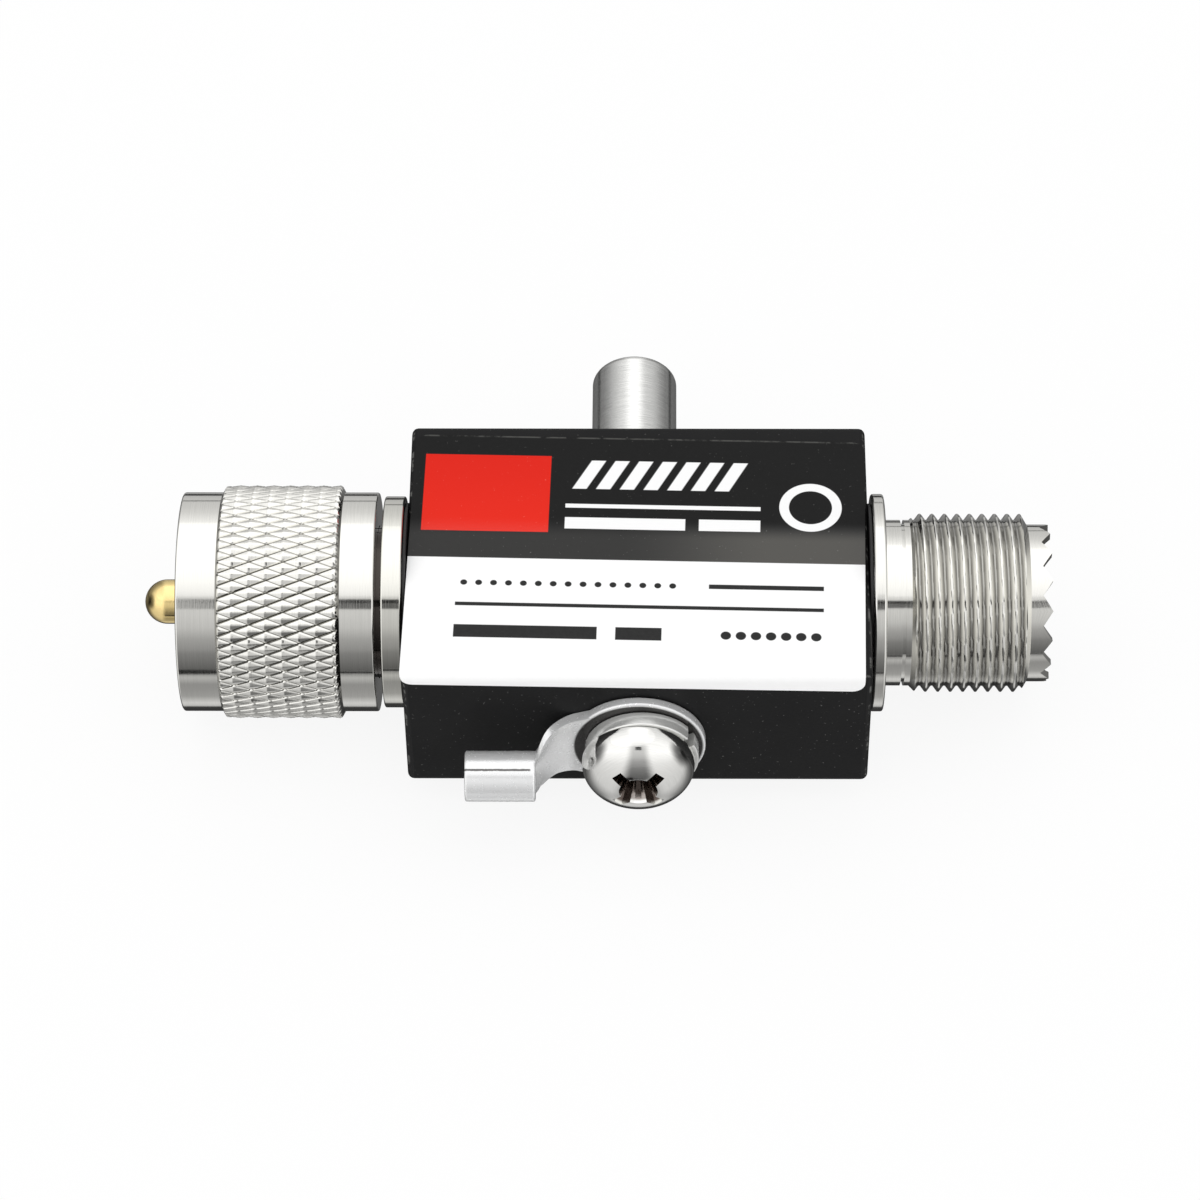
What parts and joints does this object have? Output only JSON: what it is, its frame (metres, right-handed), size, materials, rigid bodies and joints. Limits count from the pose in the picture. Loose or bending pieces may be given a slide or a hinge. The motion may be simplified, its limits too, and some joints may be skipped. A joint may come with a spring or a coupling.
{
  "type": "coax lightning arrestor",
  "caption": "In-line coaxial lightning arrestor: block with a UHF plug and a UHF socket, a screw-in gas tube cap and an earth screw with a crimp lug.",
  "frame": {"origin": "centre of the block's underside", "axes": "+X along the coaxial line from the plug to the socket, +Y towards the arrestor cap, +Z towards the label"},
  "size_m": [0.0801, 0.0469, 0.0208],
  "materials": {
    "black_paint": "satin",
    "label_print": "satin film",
    "black_rubber": "matte",
    "nickel": "bright plated",
    "knurled_nickel": "bright plated, knurled",
    "turned_nickel": "turned",
    "tin_plate": "satin tin plate",
    "spring_steel": "plated",
    "gold_plate": "gold plated",
    "brass": "machined",
    "electrode_metal": "plain",
    "ceramic": "fired",
    "ptfe": "matte"
  },
  "bodies": {
    "block": {"housing": "black_paint", "label": "label_print", "plug_gasket": "black_rubber", "socket_gasket": "black_rubber", "plug_shell": "nickel", "retaining_ring": "spring_steel", "plug_pin": "gold_plate", "plug_insulator": "ptfe", "line_conductor": "brass", "socket_shell": "nickel", "socket_insulator": "ptfe", "socket_contact": "gold_plate"},
    "ring": {"coupling_ring": "knurled_nickel"},
    "gas_tube": {"gas_tube_inner_electrode": "electrode_metal", "gas_tube_ceramic": "ceramic", "gas_tube_outer_electrode": "electrode_metal", "contact_spring": "spring_steel"},
    "cap": {"arrestor_cap": "turned_nickel"},
    "washer": {"lock_washer": "spring_steel"},
    "screw": {"ground_screw": "nickel"},
    "lug": {"ring_terminal": "tin_plate"}
  },
  "joints": [
    {"name": "ring_turn", "type": "hinge", "parent": "block", "child": "ring", "pos_m": [0, 0, 0.0075], "axis": [1, 0, 0], "continuous": true},
    {"name": "cap_travel", "type": "slide", "parent": "block", "child": "gas_tube", "axis": [0, 1, 0], "range_m": [0, 0.00825]},
    {"name": "cap_turn", "type": "hinge", "parent": "gas_tube", "child": "cap", "pos_m": [-0.0004, 0, 0.0075], "axis": [0, 1, 0], "range_deg": [0, 3960]},
    {"name": "screw_travel", "type": "slide", "parent": "block", "child": "washer", "axis": [0, -1, 0], "range_m": [0, 0.0056]},
    {"name": "screw_turn", "type": "hinge", "parent": "washer", "child": "screw", "pos_m": [0.0001, -0.01425, 0.0064], "axis": [0, -1, 0], "range_deg": [0, 2520]},
    {"name": "lug_swivel", "type": "hinge", "parent": "block", "child": "lug", "pos_m": [0.0001, -0.01425, 0.0064], "axis": [0, -1, 0], "continuous": true}
  ],
  "couplings": [
    {"joint": "cap_turn", "follows": "cap_travel", "rad_per_m": 8377.6},
    {"joint": "screw_turn", "follows": "screw_travel", "rad_per_m": 7854}
  ]
}
